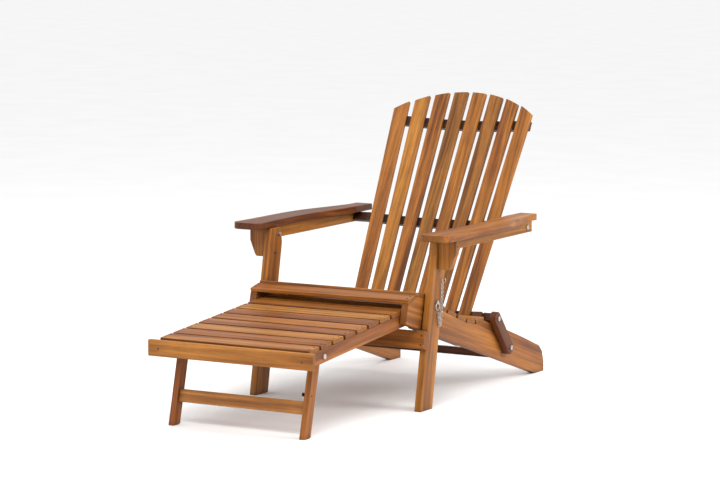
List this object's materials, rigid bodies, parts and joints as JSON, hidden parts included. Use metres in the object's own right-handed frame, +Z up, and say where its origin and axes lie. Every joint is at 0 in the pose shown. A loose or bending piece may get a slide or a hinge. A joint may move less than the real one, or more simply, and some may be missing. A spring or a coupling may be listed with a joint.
{
  "type": "folding adirondack chair",
  "caption": "Slatted wooden garden chair with a reclined fan back, broad flat arms and a pull-out slatted ottoman; folds flat once its lock pins are drawn",
  "frame": {"origin": "middle of the bounding box on the floor", "axes": "+Z up, the sitter faces -Y, +X is the sitter's left"},
  "size_m": [0.7482, 1.4376, 0.8732],
  "materials": {
    "stringer_wood": "oiled acacia, warm orange-brown with streaky grain",
    "seat_wood": "oiled acacia, warm orange-brown with streaky grain",
    "nose_wood": "oiled acacia, warm orange-brown with streaky grain",
    "under_wood": "oiled acacia, warm orange-brown with streaky grain",
    "leg_wood": "oiled acacia, warm orange-brown with streaky grain",
    "cross_wood": "oiled acacia, warm orange-brown with streaky grain",
    "bracket_wood": "oiled acacia, warm orange-brown with streaky grain",
    "arm_wood": "oiled acacia, warm orange-brown with streaky grain",
    "arm_rail_wood": "oiled acacia, warm orange-brown with streaky grain",
    "back_wood_gold": "oiled acacia, warm orange-brown with streaky grain",
    "back_wood_red": "oiled acacia, warm orange-brown with streaky grain",
    "back_wood_brown": "oiled acacia, warm orange-brown with streaky grain",
    "back_rail_wood": "oiled acacia, warm orange-brown with streaky grain",
    "link_wood": "oiled acacia, warm orange-brown with streaky grain",
    "ottoman_wood_a": "oiled acacia, warm orange-brown with streaky grain",
    "ottoman_wood_b": "oiled acacia, warm orange-brown with streaky grain",
    "board_wood": "oiled acacia, warm orange-brown with streaky grain",
    "ottoman_rail_wood": "oiled acacia, warm orange-brown with streaky grain",
    "ottoman_leg_wood": "oiled acacia, warm orange-brown with streaky grain",
    "stretcher_wood": "oiled acacia, warm orange-brown with streaky grain",
    "zinc": "bright zinc plating, slightly dulled",
    "screw_steel": "dark oxidised steel, sunk below the wood"
  },
  "bodies": {
    "seat": {"stringer_left": "stringer_wood", "stringer_right": "stringer_wood", "seat_slat_1": "seat_wood", "seat_slat_2": "seat_wood", "seat_slat_3": "seat_wood", "seat_slat_4": "seat_wood", "seat_slat_5": "seat_wood", "seat_slat_6": "seat_wood", "seat_slat_7": "seat_wood", "nose_slat": "nose_wood", "rear_under_rail": "under_wood", "runners": "under_wood", "seat_screws": "screw_steel"},
    "links": {"link_left": "link_wood", "link_right": "link_wood", "link_bolts": "zinc"},
    "back": {"back_slat_1": "back_wood_gold", "back_slat_2": "back_wood_gold", "back_slat_3": "back_wood_red", "back_slat_4": "back_wood_brown", "back_slat_5": "back_wood_gold", "back_slat_6": "back_wood_brown", "back_slat_7": "back_wood_red", "back_slat_8": "back_wood_gold", "back_top_rail": "back_rail_wood", "back_mid_rail": "back_rail_wood", "back_lower_rail": "back_rail_wood"},
    "arms": {"arm_left": "arm_wood", "arm_right": "arm_wood", "arm_rail_left": "arm_rail_wood", "arm_rail_right": "arm_rail_wood", "arm_bolts": "zinc"},
    "leg_frame": {"front_leg_left": "leg_wood", "front_leg_right": "leg_wood", "front_cross_rail": "cross_wood", "arm_brackets": "bracket_wood", "leg_screws": "screw_steel", "lock_chains": "zinc"},
    "pin_left": {"lock_pin_left": "zinc"},
    "pin_right": {"lock_pin_right": "zinc"},
    "ottoman": {"ottoman_board": "board_wood", "ottoman_rail_left": "ottoman_rail_wood", "ottoman_rail_right": "ottoman_rail_wood", "ottoman_slat_1": "ottoman_wood_a", "ottoman_slat_2": "ottoman_wood_b", "ottoman_slat_3": "ottoman_wood_a", "ottoman_slat_4": "ottoman_wood_b", "ottoman_slat_5": "ottoman_wood_a", "ottoman_slat_6": "ottoman_wood_b", "ottoman_slat_7": "ottoman_wood_a", "ottoman_slat_8": "ottoman_wood_b", "ottoman_slat_9": "ottoman_wood_a", "ottoman_screws": "screw_steel"},
    "ottoman_legs": {"ottoman_leg_left": "ottoman_leg_wood", "ottoman_leg_right": "ottoman_leg_wood", "ottoman_stretcher": "stretcher_wood", "ottoman_pivot_bolts": "zinc", "wing_nut": "zinc"}
  },
  "joints": [
    {"name": "link_swing", "type": "hinge", "parent": "seat", "child": "links", "pos_m": [0, 0.4278, 0.1127], "axis": [1, 0, 0], "range_deg": [-38, 0]},
    {"name": "back_fold", "type": "hinge", "parent": "links", "child": "back", "pos_m": [0, 0.3444, 0.2133], "axis": [1, 0, 0], "range_deg": [0, 133.01]},
    {"name": "arm_swing", "type": "hinge", "parent": "back", "child": "arms", "pos_m": [0, 0.4862, 0.481], "axis": [1, 0, 0], "range_deg": [-71.26, 0]},
    {"name": "leg_swing", "type": "hinge", "parent": "arms", "child": "leg_frame", "pos_m": [0, -0.0098, 0.477], "axis": [1, 0, 0], "range_deg": [0, 57.01]},
    {"name": "pin_pull_left", "type": "slide", "parent": "leg_frame", "child": "pin_left", "axis": [1, 0, 0], "range_m": [0, 0.04]},
    {"name": "pin_pull_right", "type": "slide", "parent": "leg_frame", "child": "pin_right", "axis": [-1, 0, 0], "range_m": [0, 0.04]},
    {"name": "ottoman_lift", "type": "hinge", "parent": "seat", "child": "ottoman", "pos_m": [0, -0.1078, 0.256], "axis": [-1, 0, 0], "range_deg": [0, 14]},
    {"name": "ottoman_leg_fold", "type": "hinge", "parent": "ottoman", "child": "ottoman_legs", "pos_m": [0, -0.6154, 0.2264], "axis": [1, 0, 0], "range_deg": [0, 105]}
  ],
  "couplings": [
    {"joint": "back_fold", "follows": "link_swing", "ratio": -3.5},
    {"joint": "arm_swing", "follows": "link_swing", "ratio": 1.875},
    {"joint": "leg_swing", "follows": "link_swing", "ratio": -1.5}
  ]
}
